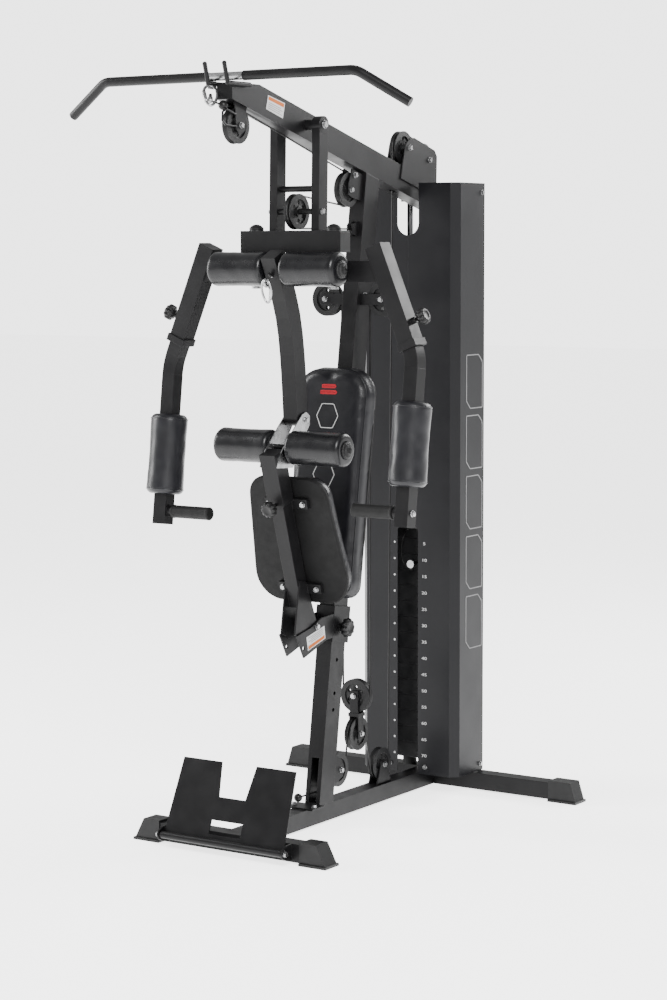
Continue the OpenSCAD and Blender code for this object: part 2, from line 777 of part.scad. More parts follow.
// point on the strut's line, a distance down from its top
function along_strut(d) = strut_top + d * unit(strut_low - strut_top);
module seat_frame() {
  placed() {
    color("#242427") difference() {
      union() {
        bar_yz(strut_low, strut_top, strut_w, 44);
        bar_yz(along_strut(92), along_strut(-58), 52, 52);
        for (s = [-1, 1]) plate_x([[286, 712], [262, 563], [300, 546], [362, 560], [368, 590],
                                   [318, 706]], 5, s * 22.9);
        on_board() translate([-70, -0.05 - board_bar_t, -14]) cube([140, board_bar_t, 28]);
      }
      pin_x(seat_hinge[0], seat_hinge[1], 6.06, 80);
    }
    color("#c9c7c0") {
      for (s = [-1, 1])
        plate_x([[172, 1036], [250, 1032], [290, 1092], [332, 1146], [333, 1170],
                 [316, 1182], [296, 1176], [226, 1112], [180, 1064]], 3, s * 27.6);
      pin_x(leg_hinge[0], leg_hinge[1], 6, 60);
      bolt_pair(29.2, leg_hinge[0], leg_hinge[1], 7);
      pin_x(seat_roll[0], seat_roll[1], 8, 420);
      for (s = [-1, 1]) pin_x(seat_roll[0], seat_roll[1], 12, 4, s * 212);
    }
    color("#c8cacc") on_board() for (s = [-1, 1])
      translate([s * 56, -0.05 - board_bar_t, 0]) rotate([0, 0, -90]) bolt_head(7);
  }
}

module seat_shape(grow = 0) {
  hull() for (s = [-1, 1]) {
    translate([s * (66 + grow), 30]) circle(r = 66, $fn = 32);
    translate([s * (74 + grow), -203]) circle(r = 82, $fn = 32);
  }
}

module seat_pad() {
  placed() translate([0, seat_at[0], seat_at[1]]) rotate([seat_lean, 0, 0])
    rotate([90, 0, 0]) {
      color("#1d1d1d") translate([0, 0, -12]) linear_extrude(height = 12) seat_shape(0);
      color("#1b1b20") translate([0, 0, -50]) linear_extrude(height = 37.9) seat_shape(3);
    }
}

module seat_knob() {
  placed() color("#1a1a1c") translate(concat(0, along_strut(88))) rotate([16.9, 0, 0])
    rotate([0, 0, -90]) translate([26.2, 0, 0]) rotate([0, 90, 0]) {
      cylinder(r = 6, h = 30);
      translate([0, 0, 26]) cylinder(r = knob_r, h = 18);
    }
}

module roller(s, p) {
  placed() color("#1a1a1c") difference() {
    pin_x(p[0], p[1], roller_r, roller_l, s * (roll_in + roller_l / 2));
    pin_x(p[0], p[1], 8.4, roller_l + 2, s * (roll_in + roller_l / 2));
  }
}

module seat_roller_left() { roller(-1, seat_roll); }
module seat_roller_right() { roller(1, seat_roll); }
module leg_roller_left() { roller(-1, leg_roll); }
module leg_roller_right() { roller(1, leg_roll); }

leg_w = 46;
leg_d = 54;
leg_path = [[305, 1170], [301, 1230], [296, 1290], [290, 1345], [282, 1398], [270, 1450],
            [252, 1500], [228, 1552], [197, 1618]];
// outline of a bent tube of depth d along a path in [y, z]
function beside(path, d) = [for (i = [0:len(path) - 1])
  let (t = unit(path[min(i + 1, len(path) - 1)] - path[max(i - 1, 0)]))
  path[i] + d * [t[1], -t[0]]];
function band(path, d) =
  let (a = beside(path, d / 2), b = beside(path, -d / 2))
  concat(a, [for (i = [len(b) - 1:-1:0]) b[i]]);

module leg_arm() {
  placed() {
    color("#242427") difference() {
      union() {
        plate_x(band(leg_path, leg_d), leg_w, 0);
        pin_x(leg_path[0][0], leg_path[0][1], leg_d / 2, leg_w);
        pin_x(leg_hinge[0], leg_hinge[1], 15, 48);
      }
      pin_x(leg_hinge[0], leg_hinge[1], 6.06, 80);
    }
    color("#c8cacc") {
      pin_x(leg_roll[0], leg_roll[1], 8, 420);
      for (s = [-1, 1]) pin_x(leg_roll[0], leg_roll[1], 12, 4, s * 212);
      translate([0, 198, 1556]) rotate([64, 0, 0]) cylinder(r = 4, h = 24);
      translate([0, 168, 1541]) rotate([0, 90, 0]) rotate_extrude() translate([10, 0]) circle(r = 4);
    }
  }
}

module footplate() {
  lean = 21.6;
  placed() color("#242427") translate([0, plate_hinge[0], plate_hinge[1]]) {
    difference() {
      union() {
        rotate([0, 90, 0]) translate([0, 0, -200]) cylinder(r = 10, h = 400);
        rotate([-lean, 0, 0]) translate([0, 10, 0]) rotate([90, 0, 0])
          linear_extrude(height = 3) difference() {
            polygon([[-200, 0], [200, 0], [187, 222], [58, 222], [44, 126], [-44, 126],
                     [-58, 222], [-187, 222]]);
            translate([-52, 22]) square([104, 40]);
          }
      }
      rotate([0, 90, 0]) translate([0, 0, -210]) cylinder(r = 6.06, h = 420);
    }
  }
}

// ---------- lat bar ----------

lat_c = [-11, 2084.2];
lat_r = 13;
lug_x = -46;
lat_half = 390;                      // half of the straight stretch
lat_bend = 33.2;                     // how far the ends turn down
lat_bend_r = 60;
lat_end = 150;                       // straight length past each bend
lat_roll = 22.4;                     // tilt of the bends towards the rear
module lat_bar() {
  placed() {
    for (s = [-1, 1]) color("#1a1a1c") scale([s, 1, 1]) {
      pin_x(lat_c[0], lat_c[1], lat_r, lat_half - 58, lat_half / 2 + 29);
      translate([lat_half, lat_c[0], lat_c[1]]) rotate([lat_roll, 0, 0])
        translate([0, 0, -lat_bend_r]) rotate([90, 0, 0]) {
          rotate([0, 0, 90 - lat_bend]) rotate_extrude(angle = lat_bend)
            translate([lat_bend_r, 0]) circle(r = lat_r);
          rotate([0, 0, 90 - lat_bend]) translate([lat_bend_r, 0, 0]) rotate([90, 0, 0])
            cylinder(r = lat_r, h = lat_end);
        }
    }
    color("#c8cacc") {
      pin_x(lat_c[0], lat_c[1], lat_r - 2, 116);
      difference() {
        translate([lug_x - 3, -26, 2052]) cube([6, 30, 24]);
        translate([lug_x - 4, -18, 2060]) rotate([0, 90, 0]) cylinder(r = 5, h = 8);
      }
    }
  }
}

// ---------- floating block and pulleys ----------

module floating_block() {
  y = float_p2[0];
  placed() color("#202023") {
    translate([-18, y - 16, 275.8]) cube([36, 34, 10.6]);
    for (s = [-1, 1]) translate([s > 0 ? 12 : -16, y - 14, 210]) cube([4, 28, 70]);
    for (s = [-1, 1])
      translate([-14, float_p1[0] + (s > 0 ? 12 : -16), 280]) cube([28, 4, 72]);
    color("#c8cacc") {
      pin_x(y, float_p2[1], axle_r, 34);
      bolt_pair(16, y, float_p2[1], 7);
      translate([0, float_p1[0] - 17, float_p1[1]]) {
        rotate([-90, 0, 0]) cylinder(r = axle_r, h = 34);
        rotate([0, 0, -90]) bolt_head(7);
      }
    }
  }
}

module front_pulley() { pulley_x(front_p); }
module upright_pulley() { pulley_x(upright_p); }
module press_pulley() { pulley_x(press_p); }
module top_pulley_1() { pulley_x(top_p1); }
module top_pulley_2() { pulley_x(top_p2); }
module fly_pulley_left() { pulley_y(-fly_p_x, fly_p); }
module fly_pulley_right() { pulley_y(fly_p_x, fly_p); }
module floating_pulley_1() { pulley_y(0, float_p1); }
module floating_pulley_2() { pulley_x(float_p2); }
module low_pulley() { pulley_x(low_p); }
module base_pulley() { pulley_x(base_p); }

front_stabiliser();
rear_stabiliser();
base_tube();
stabiliser_feet();
main_upright();
top_beam();
frame_bolts();
bar_hooks();
pulley_forks();
rear_pulley_bracket();
low_pulley_brackets();
guide_rods();
stack_bumpers();
fixed_plates();
shroud_left();
shroud_right();
backrest_pad();
backrest_mounts();
main_cable();
stack_cable();
upper_cable();
fly_cable();
press_arm();
press_bolts();
fly_arm_left();
fly_arm_right();
handle_tube_left();
handle_tube_right();
arm_pad_left();
arm_pad_right();
arm_knob_left();
arm_knob_right();
seat_carrier();
carrier_knob();
seat_frame();
seat_pad();
seat_knob();
seat_roller_left();
seat_roller_right();
leg_arm();
leg_roller_left();
leg_roller_right();
footplate();
lat_bar();
lifted_plates();
stack_stem();
selector_pin();
pin_cord();
floating_block();
front_pulley();
upright_pulley();
press_pulley();
top_pulley_1();
top_pulley_2();
fly_pulley_left();
fly_pulley_right();
floating_pulley_1();
floating_pulley_2();
low_pulley();
base_pulley();
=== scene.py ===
"""Looks of the multi station home gym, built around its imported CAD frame. Metres, +Z up, -Y front."""
import json
import math

import bpy
import bmesh
from mathutils import Matrix, Vector, noise
from mathutils.bvhtree import BVHTree
from mathutils.geometry import convex_hull_2d


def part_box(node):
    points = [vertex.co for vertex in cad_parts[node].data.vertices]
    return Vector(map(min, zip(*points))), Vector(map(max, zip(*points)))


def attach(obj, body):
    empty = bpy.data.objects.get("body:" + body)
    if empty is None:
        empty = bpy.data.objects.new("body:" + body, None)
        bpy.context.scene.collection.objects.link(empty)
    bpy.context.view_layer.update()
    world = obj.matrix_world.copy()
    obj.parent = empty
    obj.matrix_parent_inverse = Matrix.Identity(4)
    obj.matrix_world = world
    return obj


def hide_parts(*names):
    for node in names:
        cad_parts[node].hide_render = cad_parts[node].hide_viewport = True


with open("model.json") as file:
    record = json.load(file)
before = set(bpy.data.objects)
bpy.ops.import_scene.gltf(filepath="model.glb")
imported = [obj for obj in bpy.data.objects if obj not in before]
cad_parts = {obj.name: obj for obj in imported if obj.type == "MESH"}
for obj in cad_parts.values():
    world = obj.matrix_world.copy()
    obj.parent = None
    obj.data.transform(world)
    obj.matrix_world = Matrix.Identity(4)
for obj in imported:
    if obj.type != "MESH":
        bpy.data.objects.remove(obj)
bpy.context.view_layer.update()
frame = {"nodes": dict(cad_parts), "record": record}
scene = bpy.context.scene
X, Y, Z = Vector((1, 0, 0)), Vector((0, 1, 0)), Vector((0, 0, 1))
FRONT_Y = 0.5025          # the front stabiliser's axis lies this far in front of the origin


# ---------- camera ----------

EYE = (3.8284, -5.7768, 1.6338)
AZIMUTH, ELEVATION, ROLL = math.radians(33.57), math.radians(5.89), math.radians(-0.15)
LENS, SENSOR = 87.9, 36    # millimetres


def make_camera():
    data = bpy.data.cameras.new("camera")
    data.lens, data.sensor_width = LENS, SENSOR
    data.clip_end = 60
    camera = bpy.data.objects.new("camera", data)
    turn = Matrix.Rotation(AZIMUTH, 4, "Z") @ Matrix.Rotation(math.pi / 2 - ELEVATION, 4, "X")
    camera.matrix_world = Matrix.Translation(EYE) @ turn @ Matrix.Rotation(ROLL, 4, "Z")
    scene.collection.objects.link(camera)
    scene.camera = camera


make_camera()


# ---------- materials ----------

class Shader:
    """A material and short calls that add and join its nodes."""

    def __init__(self, name):
        self.mat = bpy.data.materials.new(name)
        self.mat.use_nodes = True
        self.tree = self.mat.node_tree
        self.bsdf = self.tree.nodes["Principled BSDF"]
        self.out = self.tree.nodes["Material Output"]
        self.where = self.add("ShaderNodeTexCoord").outputs["Object"]

    def add(self, kind, links=(), **values):
        node = self.tree.nodes.new(kind)
        for key, value in values.items():
            if hasattr(node, key):
                setattr(node, key, value)
            else:
                node.inputs[key.replace("_", " ")].default_value = value
        for socket, source in dict(links).items():
            self.tree.links.new(source, node.inputs[socket])
        return node

    def join(self, source, socket):
        self.tree.links.new(source, socket)

    def noise(self, scale, detail=4.0, rough=0.55):
        return self.add("ShaderNodeTexNoise", {"Vector": self.where},
                        Scale=scale, Detail=detail, Roughness=rough).outputs[0]

    def ramp(self, source, low, high, start=0.3, end=0.7):
        node = self.add("ShaderNodeValToRGB", {"Fac": source})
        a, b = node.color_ramp.elements
        a.position, b.position = start, end
        a.color = (*low, 1) if isinstance(low, tuple) else (low, low, low, 1)
        b.color = (*high, 1) if isinstance(high, tuple) else (high, high, high, 1)
        return node.outputs["Color"]

    def calc(self, how, a, b=None, c=None):
        node = self.add("ShaderNodeMath", operation=how)
        for socket, value in zip(node.inputs, (a, b, c)):
            if value is None:
                continue
            if isinstance(value, (int, float)):
                socket.default_value = value
            else:
                self.join(value, socket)
        return node.outputs[0]

    def inside(self, low, high, mirror=False):
        """1 inside a box in the row frame, 0 outside; mirror takes both sides of the middle plane."""
        axes = self.add("ShaderNodeSeparateXYZ", {"Vector": self.where}).outputs
        product = None
        for k, (lo, hi) in enumerate(zip(low, high)):
            value = self.calc("ABSOLUTE", axes[k]) if mirror and k == 0 else axes[k]
            above, below = self.calc("GREATER_THAN", value, lo), self.calc("LESS_THAN", value, hi)
            part = self.calc("MULTIPLY", above, below)
            product = part if product is None else self.calc("MULTIPLY", product, part)
        return product

    def beyond(self, point, normal):
        """1 on the far side of a plane, 0 on the near side."""
        dot = self.add("ShaderNodeVectorMath", {"Vector": self.where}, operation="DOT_PRODUCT")
        dot.inputs[1].default_value = normal
        return self.calc("GREATER_THAN", dot.outputs["Value"], Vector(normal).dot(point))


def surface(name, dark, light, rough, mottle=14, grain=900, bump=0.15, depth=0.0002, metal=0.0,
            edge=0.0012, wear=None, coat=0.0, cells=None, gloss=0.2):
    """A mottled, grained surface with rounded edges: colours and roughness run between two values."""
    s = Shader(name)
    blotch = s.noise(mottle)
    colour = s.ramp(blotch, dark, light)
    s.bsdf.inputs["Metallic"].default_value = metal
    s.bsdf.inputs["Specular IOR Level"].default_value = gloss
    s.bsdf.inputs["Coat Weight"].default_value = coat
    s.bsdf.inputs["Coat Roughness"].default_value = 0.25
    normal = None
    if edge:
        round_edge = s.add("ShaderNodeBevel", samples=4, Radius=edge).outputs[0]
        normal = round_edge
        if wear:
            flat = s.add("ShaderNodeNewGeometry").outputs["Normal"]
            dot = s.add("ShaderNodeVectorMath", operation="DOT_PRODUCT")
            s.join(round_edge, dot.inputs[0])
            s.join(flat, dot.inputs[1])
            worn = s.calc("MULTIPLY", s.ramp(dot.outputs["Value"], 1.0, 0.0, 0.80, 0.985), s.noise(60))
            mix = s.add("ShaderNodeMix", data_type="RGBA")
            s.join(worn, mix.inputs["Factor"])
            s.join(colour, mix.inputs[6])
            mix.inputs[7].default_value = (*wear, 1)
            colour = mix.outputs[2]
    s.join(colour, s.bsdf.inputs["Base Color"])
    s.join(s.ramp(s.noise(mottle * 2.3), rough[0], rough[1]), s.bsdf.inputs["Roughness"])
    height = s.noise(grain, 2.0)
    if cells:
        crease = s.add("ShaderNodeTexVoronoi", {"Vector": s.where}, feature="DISTANCE_TO_EDGE", Scale=cells)
        height = s.calc("ADD", s.calc("MULTIPLY", height, 0.35), s.calc("MINIMUM", crease.outputs[0], 0.3))
    bumped = s.add("ShaderNodeBump", {"Height": height}, Strength=bump, Distance=depth)
    if normal:
        s.join(normal, bumped.inputs["Normal"])
    s.join(bumped.outputs[0], s.bsdf.inputs["Normal"])
    return s


def over(base, top, mask_of):
    """base's material with a shader in top's colours laid over it where mask_of(base) is 1."""
    s = base
    bsdf = s.add("ShaderNodeBsdfPrincipled")
    for key in ("Metallic", "Specular IOR Level", "Coat Weight"):
        bsdf.inputs[key].default_value = top.bsdf.inputs[key].default_value
    colour, rough = top.pair
    s.join(s.ramp(s.noise(30), colour[0], colour[1]), bsdf.inputs["Base Color"])
    s.join(s.ramp(s.noise(50), rough[0], rough[1]), bsdf.inputs["Roughness"])
    bump = s.add("ShaderNodeBump", {"Height": s.noise(700, 2.0)}, Strength=0.06, Distance=0.0002)
    s.join(bump.outputs[0], bsdf.inputs["Normal"])
    mix = s.add("ShaderNodeMixShader", {"Fac": mask_of(s)})
    s.join(s.bsdf.outputs[0], mix.inputs[1])
    s.join(bsdf.outputs[0], mix.inputs[2])
    s.join(mix.outputs[0], s.out.inputs["Surface"])
    return s


def powder(name="powder_coat"):
    return surface(name, (0.0034, 0.0033, 0.0036), (0.0054, 0.0053, 0.0057), (0.32, 0.44), mottle=9,
                   grain=1100, bump=0.22, depth=0.00018, edge=0.0016, wear=(0.018, 0.018, 0.019),
                   gloss=0.15)


def plastic(name="moulded_plastic"):
    return surface(name, (0.0036, 0.0036, 0.0038), (0.0062, 0.0062, 0.0064), (0.34, 0.5), mottle=25,
                   grain=1500, bump=0.25, depth=0.00015, edge=0.001, wear=(0.018, 0.018, 0.019),
                   gloss=0.22)


def zinc(name="bright_zinc"):
    colours, rough = ((0.26, 0.262, 0.265), (0.40, 0.40, 0.405)), (0.2, 0.36)
    s = surface(name, *colours, rough, mottle=40, grain=700, bump=0.08, metal=1.0, edge=0.0005)
    s.pair = (colours, rough)
    return s


def vinyl(name="vinyl"):
    return surface(name, (0.0032, 0.0032, 0.0044), (0.0056, 0.0056, 0.0074), (0.28, 0.4), mottle=11,
                   grain=420, bump=0.38, depth=0.00045, edge=0, coat=0.04, cells=560, gloss=0.3)


bright = zinc()
dull = plastic("cap_plastic")
dull.pair = (((0.0036, 0.0036, 0.0038), (0.0062, 0.0062, 0.0064)), (0.4, 0.52))
MAT = {
    "frame_paint": powder(),
    "shroud_paint": surface("shroud_coat", (0.0042, 0.0042, 0.0050), (0.0060, 0.0060, 0.0070), (0.34, 0.42),
                            mottle=4, grain=1300, bump=0.14, depth=0.00015, edge=0.0012,
                            wear=(0.02, 0.02, 0.022), gloss=0.17),
    "plastic": plastic(),
    "chrome": bright,
    "rubber": surface("black_rubber", (0.0038, 0.0038, 0.0038), (0.0062, 0.0062, 0.0062), (0.55, 0.7),
                      grain=500, bump=0.3, depth=0.0003),
    "stack": surface("plate_paint", (0.006, 0.006, 0.0064), (0.014, 0.014, 0.0145), (0.42, 0.6), mottle=30,
                     grain=260, bump=0.35, depth=0.0005, wear=(0.04, 0.04, 0.04)),
    "vinyl": vinyl(),
    "foam": surface("foam_skin", (0.0026, 0.0026, 0.0032), (0.0046, 0.0046, 0.0054), (0.24, 0.34), mottle=16,
                    grain=300, bump=0.1, depth=0.0002, edge=0, coat=0.04, cells=900, gloss=0.26),
    "cable": surface("cable_coat", (0.003, 0.003, 0.003), (0.006, 0.006, 0.006), (0.3, 0.42), grain=900,
                     edge=0),
    "bar_grip": powder("bar_coat"),
    "pulley": surface("nylon", (0.0034, 0.0034, 0.0036), (0.0062, 0.0062, 0.0066), (0.32, 0.46), mottle=30,
                      grain=1200, bump=0.2, edge=0.001, wear=(0.018, 0.018, 0.019), gloss=0.24),
}
steel = surface("rod_steel", (0.2, 0.2, 0.205), (0.3, 0.3, 0.305), (0.2, 0.36), mottle=18, grain=800,
                bump=0.06, metal=1.0, edge=0)
board = surface("board_skin", (0.0024, 0.0024, 0.0024), (0.0040, 0.0040, 0.0042), (0.5, 0.66), mottle=18,
                grain=700, bump=0.3, depth=0.0003, edge=0.001, gloss=0.14)
white_print = surface("white_print", (0.34, 0.34, 0.34), (0.44, 0.44, 0.44), (0.45, 0.6), grain=1200, edge=0)
grey_print = surface("grey_print", (0.13, 0.13, 0.132), (0.19, 0.19, 0.192), (0.45, 0.6), grain=1200, edge=0)
red_print = surface("red_print", (0.26, 0.004, 0.010), (0.36, 0.007, 0.015), (0.4, 0.55), grain=1200, edge=0)
orange_print = surface("orange_print", (0.27, 0.058, 0.003), (0.34, 0.08, 0.005), (0.45, 0.6), grain=1200,
                       edge=0)
thread = surface("thread", (0.008, 0.008, 0.009), (0.016, 0.016, 0.017), (0.6, 0.75), grain=2200, bump=0.4,
                 edge=0)

WIDE = 9.0                # past any part, in metres
BACK_LEAN = math.radians(6.84)
SEAT_LEAN = math.radians(15.3)
BOARD_BAR = 0.0121 / math.cos(SEAT_LEAN)    # level distance from the seat board to its bars' faces


def paint_cad_nodes():
    slots = {p["node"]: p["material_slot"] for p in frame["record"]["subparts"]}
    zinc_hinge = over(powder("carrier_coat"), bright, lambda s: s.inside(
        (0.0308, -0.160, 0.558), (WIDE, -0.125, 0.592), mirror=True))
    board_bolt = Vector((0, 0.273 - BOARD_BAR - FRONT_Y, 0.915))
    board_out = (0, -math.cos(SEAT_LEAN), -math.sin(SEAT_LEAN))
    zinc_cheeks = over(powder("seat_frame_coat"), bright, lambda s: s.calc("MAXIMUM", s.inside(
        (0.02606, -WIDE, 0.955), (WIDE, WIDE, WIDE), mirror=True), s.calc("MULTIPLY", s.inside(
            (0.045, -WIDE, 0.5), (0.068, WIDE, 0.9535), mirror=True), s.beyond(board_bolt, board_out))))
    leg_zinc = over(powder("leg_coat"), bright, lambda s: s.calc("MAXIMUM", s.inside(
        (0.0242, -WIDE, 1.5), (WIDE, WIDE, WIDE), mirror=True), s.inside(
        (-0.02, -WIDE, 1.52), (0.02, -0.309, 1.556))))
    bar = over(powder("lat_coat"), bright, lambda s: s.inside(
        (-0.001, -WIDE, -WIDE), (0.0582, WIDE, WIDE), mirror=True))
    block = over(powder("block_coat"), bright, lambda s: s.calc("MAXIMUM", s.inside(
        (0.0161, -WIDE, 0.2), (WIDE, WIDE, 0.272), mirror=True), s.inside(
        (-WIDE, -WIDE, 0.32), (WIDE, 0.0948, 0.36))))
    caps = over(zinc("press_zinc"), dull, lambda s: s.calc("MAXIMUM", s.inside(
        (-1, -WIDE, 1.6825), (0.0825, -0.17, 1.75), mirror=True), s.inside(
            (0.1, -WIDE, 1.6825), (WIDE, -0.17, 1.75), mirror=True)))
    special = {"seat_carrier": zinc_hinge, "seat_frame": zinc_cheeks, "leg_arm": leg_zinc, "lat_bar": bar,
               "floating_block": block, "press_bolts": caps, "guide_rods": steel, "stack_stem": steel}
    for name, thing in frame["nodes"].items():
        chosen = special.get(name, MAT[slots[name]]).mat
        for entry in thing.material_slots:
            entry.link = "OBJECT"
            entry.material = chosen


paint_cad_nodes()


# ---------- making pieces ----------

def piece(name, mesh, shader, body, slot, smooth=True):
    thing = bpy.data.objects.new(name, mesh)
    scene.collection.objects.link(thing)
    mesh.materials.append(shader.mat)
    if smooth:
        for face in mesh.polygons:
            face.use_smooth = True
    if body:
        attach(thing, body)
    return thing


def mesh_of(name, verts, faces):
    mesh = bpy.data.meshes.new(name)
    mesh.from_pydata([tuple(v) for v in verts], [], faces)
    mesh.update()
    return mesh


def body_slot(node):
    for body, nodes in frame["record"]["behaviour"]["bodies"].items():
        if node in nodes:
            found = body
    slot = next(p["material_slot"] for p in frame["record"]["subparts"] if p["node"] == node)
    return found, slot


class Spindle:
    """What lathe() turns about: a point, the unit direction of the axis and two more square to it."""

    def __init__(self, at, direction, side=None):
        self.at, self.dir = at, direction.normalized()
        self.side = self.dir.orthogonal().normalized() if side is None else side
        self.other = self.dir.cross(self.side)

    def point(self, t, r=0.0, angle=0.0):
        return self.at + self.dir * t + (self.side * math.cos(angle) + self.other * math.sin(angle)) * r


class Line(Spindle):
    """A long round node's centre line, with where its ends are along it."""

    def __init__(self, node, direction=None, towards=None):
        points = [v.co.copy() for v in frame["nodes"][node].data.vertices]
        way = Vector(direction or main_axis(points)).normalized()
        if towards is not None and way.dot(towards) < 0:
            way = -way
        middle = sum(points, Vector()) / len(points)
        along = [way.dot(p - middle) for p in points]
        self.low, self.high = min(along), max(along)
        centre = across_middle(points, way)
        side = X - way * X.dot(way)
        if side.length < 0.3:
            side = Y - way * Y.dot(way)
        super().__init__(centre + way * way.dot(middle - centre), way, side.normalized())


def main_axis(points):
    """Direction in which the points spread most, by repeated multiplication with their scatter matrix."""
    middle = sum(points, Vector()) / len(points)
    rows = [[0.0] * 3 for _ in range(3)]
    for p in points:
        d = p - middle
        for i in range(3):
            for j in range(3):
                rows[i][j] += d[i] * d[j]
    scatter, guess = Matrix(rows), Vector((0.31, 0.42, 0.85))
    for _ in range(60):
        guess = (scatter @ guess).normalized()
    return guess


def across_middle(points, direction):
    """Middle of the points' extent across a direction, so that uneven meshing can't pull it aside."""
    side = direction.orthogonal().normalized()
    other = direction.cross(side)
    spread = []
    for axis in (side, other):
        values = [axis.dot(p) for p in points]
        spread.append(axis * (min(values) + max(values)) / 2)
    return spread[0] + spread[1]


def lathe(name, line, profile, shader, body, slot, sides=64, ribs=None, ripple=0.0, wrinkle=90.0):
    """Revolve (distance along, radius) about a line; ribs = (count, depth, from, to) flutes a stretch."""
    verts, faces = [], []
    for t, r in profile:
        for k in range(sides):
            a = math.tau * k / sides
            radius = r
            if ribs and ribs[2] <= t <= ribs[3]:
                radius += ribs[1] * (abs(math.cos(ribs[0] * a / 2)) - 1)
            p = line.point(t, radius, a)
            if ripple:
                p += (p - line.point(t)).normalized() * ripple * noise.noise(p * wrinkle)
            verts.append(p)
    for i in range(len(profile) - 1):
        for k in range(sides):
            n = (k + 1) % sides
            faces.append((i * sides + k, i * sides + n, (i + 1) * sides + n, (i + 1) * sides + k))
    faces.append(tuple(range(sides - 1, -1, -1)))
    faces.append(tuple(range((len(profile) - 1) * sides, len(profile) * sides)))
    return piece(name, mesh_of(name, verts, faces), shader, body, slot)


def rounded(low, high, radius, corner, start=0.0, end=0.0, steps=7, fill=24, waist=0.0):
    """Profile of a bar with rounded ends, flat inside start and end radii, and a slight waist."""
    points = [(low, max(start, 0.001))]
    for k in range(steps + 1):
        a = math.pi / 2 * k / steps
        points.append((low + corner * (1 - math.cos(a)), radius - corner + corner * math.sin(a)))
    for k in range(1, fill):
        t = k / fill
        points.append((low + corner + (high - low - 2 * corner) * t,
                       radius - waist * math.sin(math.pi * t)))
    for k in range(steps, -1, -1):
        a = math.pi / 2 * k / steps
        points.append((high - corner * (1 - math.cos(a)), radius - corner + corner * math.sin(a)))
    points.append((high, max(end, 0.001)))
    return points


def tube_mesh(name, points, radius, closed=False, sides=10):
    """Round tube along points, its rings carried from one to the next without twist."""
    count = len(points)
    up = Vector((0.13, 0.21, 0.97))
    verts, faces = [], []
    for i, p in enumerate(points):
        before = points[(i - 1) % count] if closed or i else p
        after = points[(i + 1) % count] if closed or i < count - 1 else p
        ahead = (after - before).normalized()
        side = up - ahead * up.dot(ahead)
        if side.length < 1e-4:
            side = ahead.orthogonal()
        side.normalize()
        up = side
        other = ahead.cross(side)
        for k in range(sides):
            a = math.tau * k / sides
            verts.append(p + radius * (math.cos(a) * side + math.sin(a) * other))
    for i in range(count if closed else count - 1):
        j = (i + 1) % count
        for k in range(sides):
            n = (k + 1) % sides
            faces.append((i * sides + k, i * sides + n, j * sides + n, j * sides + k))
    if not closed:
        faces.append(tuple(range(sides - 1, -1, -1)))
        faces.append(tuple(range((count - 1) * sides, count * sides)))
    return mesh_of(name, verts, faces)


def smooth_route(points, steps):
    """Catmull-Rom curve through the points."""
    out = []
    for i in range(len(points) - 1):
        a, b = points[max(i - 1, 0)], points[i]
        c, d = points[i + 1], points[min(i + 2, len(points) - 1)]
        for k in range(steps):
            t = k / steps
            out.append(0.5 * (2 * b + (c - a) * t + (2 * a - 5 * b + 4 * c - d) * t ** 2
                              + (3 * b - a - 3 * c + d) * t ** 3))
    out.append(points[-1].copy())
    return out


# ---------- the selector pin's lanyard ----------

LANYARD = [(-38, 958, 786), (-39, 950, 784), (-41, 941, 772), (-43, 934, 756), (-44, 930, 736),
           (-42, 927, 716), (-37, 925, 698), (-30, 924, 686), (-21, 924, 678), (-12, 924, 673.5),
           (-6, 924, 672.6), (-1.5, 924, 675), (0, 924, 679.6)]


def make_lanyard():
    route = [Vector((x, y, z)) / 1000 - Vector((0, FRONT_Y, 0)) for x, y, z in LANYARD]
    path = smooth_route(route, 4)
    body, slot = body_slot("pin_cord")
    cord = piece("pin_lanyard", tube_mesh("pin_lanyard", path, 0.0025), MAT["cable"], body, slot)
    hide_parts("pin_cord")


make_lanyard()


# ---------- cushions ----------

def hull_outline(circles, step=32):
    """Convex outline round circles given as (x, y, radius)."""
    dots = []
    for x, y, r in circles:
        for k in range(step):
            a = math.tau * (k + 0.5) / step
            dots.append(Vector((x + r * math.cos(a), y + r * math.sin(a))))
    return [dots[i] for i in convex_hull_2d(dots)]


def resample(loop, gap):
    """Closed loop with even spacing."""
    total = sum((loop[(i + 1) % len(loop)] - p).length for i, p in enumerate(loop))
    count = max(12, round(total / gap))
    out, i, used = [], 0, 0.0
    for k in range(count):
        want = total * k / count
        while True:
            a, b = loop[i % len(loop)], loop[(i + 1) % len(loop)]
            size = (b - a).length
            if used + size >= want:
                break
            used += size
            i += 1
        out.append(a + (b - a) * ((want - used) / size))
    return out


def inset(loop, distance):
    """Closed convex loop moved inwards."""
    area = sum(loop[i].x * loop[(i + 1) % len(loop)].y - loop[(i + 1) % len(loop)].x * loop[i].y
               for i in range(len(loop)))
    sign = 1 if area > 0 else -1
    out = []
    for i, p in enumerate(loop):
        along = (loop[(i + 1) % len(loop)] - loop[i - 1]).normalized()
        out.append(p + Vector((-along.y, along.x)) * distance * sign)
    return out


class Slab:
    """Frame of a flat pad: u across, v up its face and w out of the face, from a point at its foot."""

    def __init__(self, origin, v, w):
        self.origin, self.v, self.w = Vector(origin), Vector(v).normalized(), Vector(w).normalized()
        self.u = X

    def point(self, u, v, w=0.0):
        return self.origin + self.u * u + self.v * v + self.w * w


